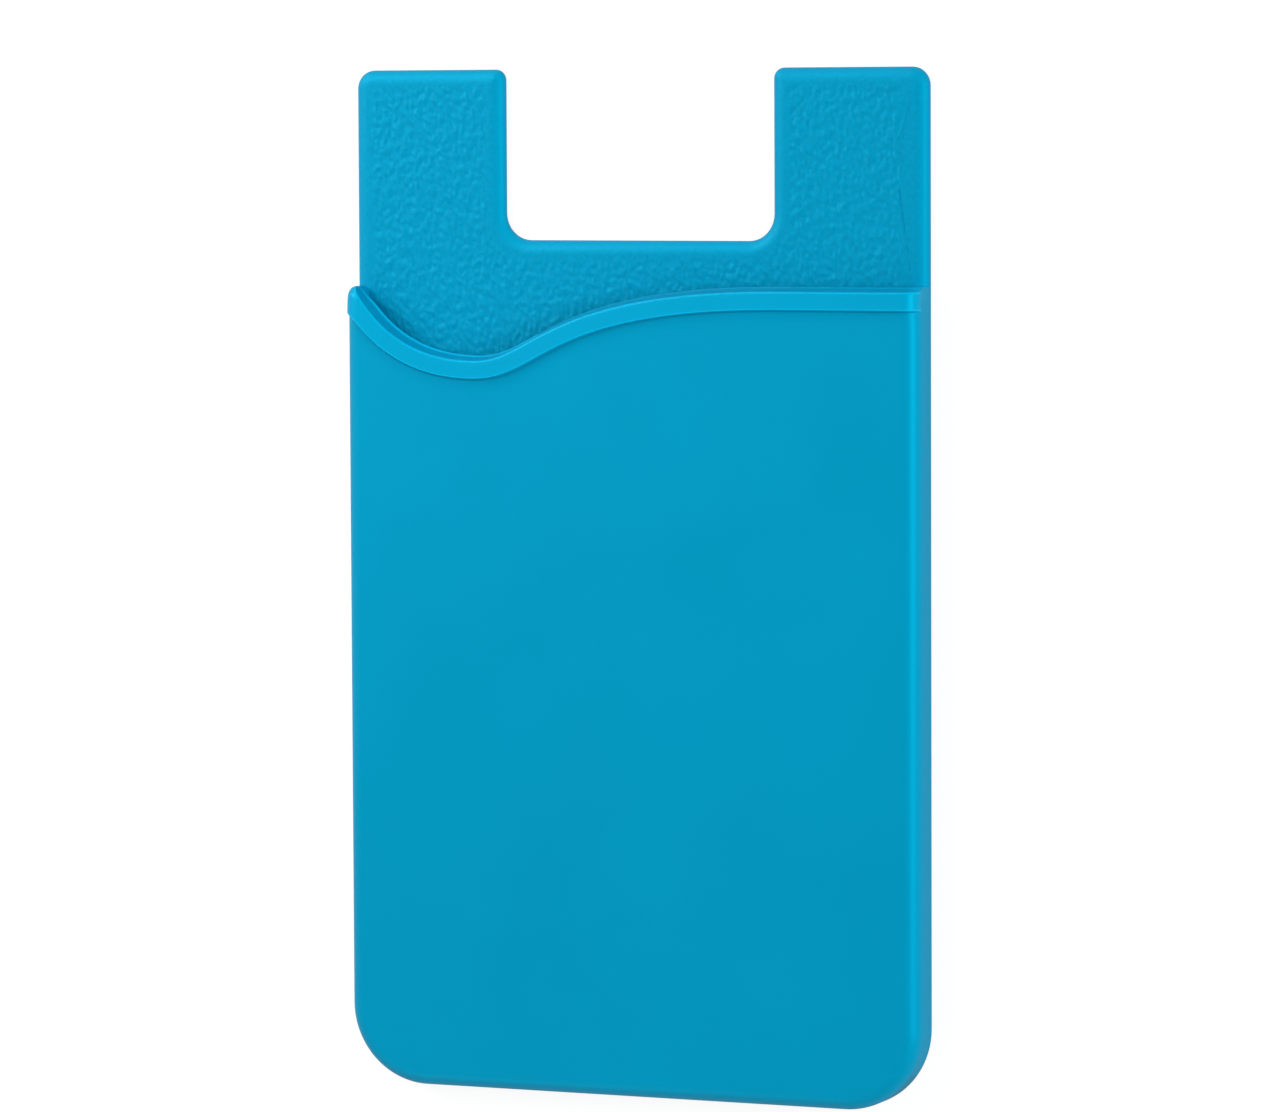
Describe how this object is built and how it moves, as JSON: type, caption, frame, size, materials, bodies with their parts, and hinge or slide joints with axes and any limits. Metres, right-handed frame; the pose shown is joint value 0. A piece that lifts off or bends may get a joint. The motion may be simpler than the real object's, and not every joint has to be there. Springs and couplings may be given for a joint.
{
  "type": "stick-on phone card holder",
  "caption": "Thin silicone pocket for a bank card with a finger dip and ears either side of a notch, stuck to the back of a phone by its adhesive pad.",
  "frame": {"origin": "centre of the footprint, on the underside of the adhesive pad, where it meets the phone", "axes": "+Z out of the pocket's front, away from the phone; +Y from the closed bottom towards the ears; +X to the right as seen from the front"},
  "size_m": [0.057, 0.095, 0.0045],
  "materials": {
    "silicone": "matt cyan silicone, leather grain on the back plate, smooth pocket",
    "adhesive": "pale double-sided adhesive foam"
  },
  "bodies": {
    "root": {"silicone_sleeve": "silicone", "adhesive_pad": "adhesive"}
  },
  "joints": []
}
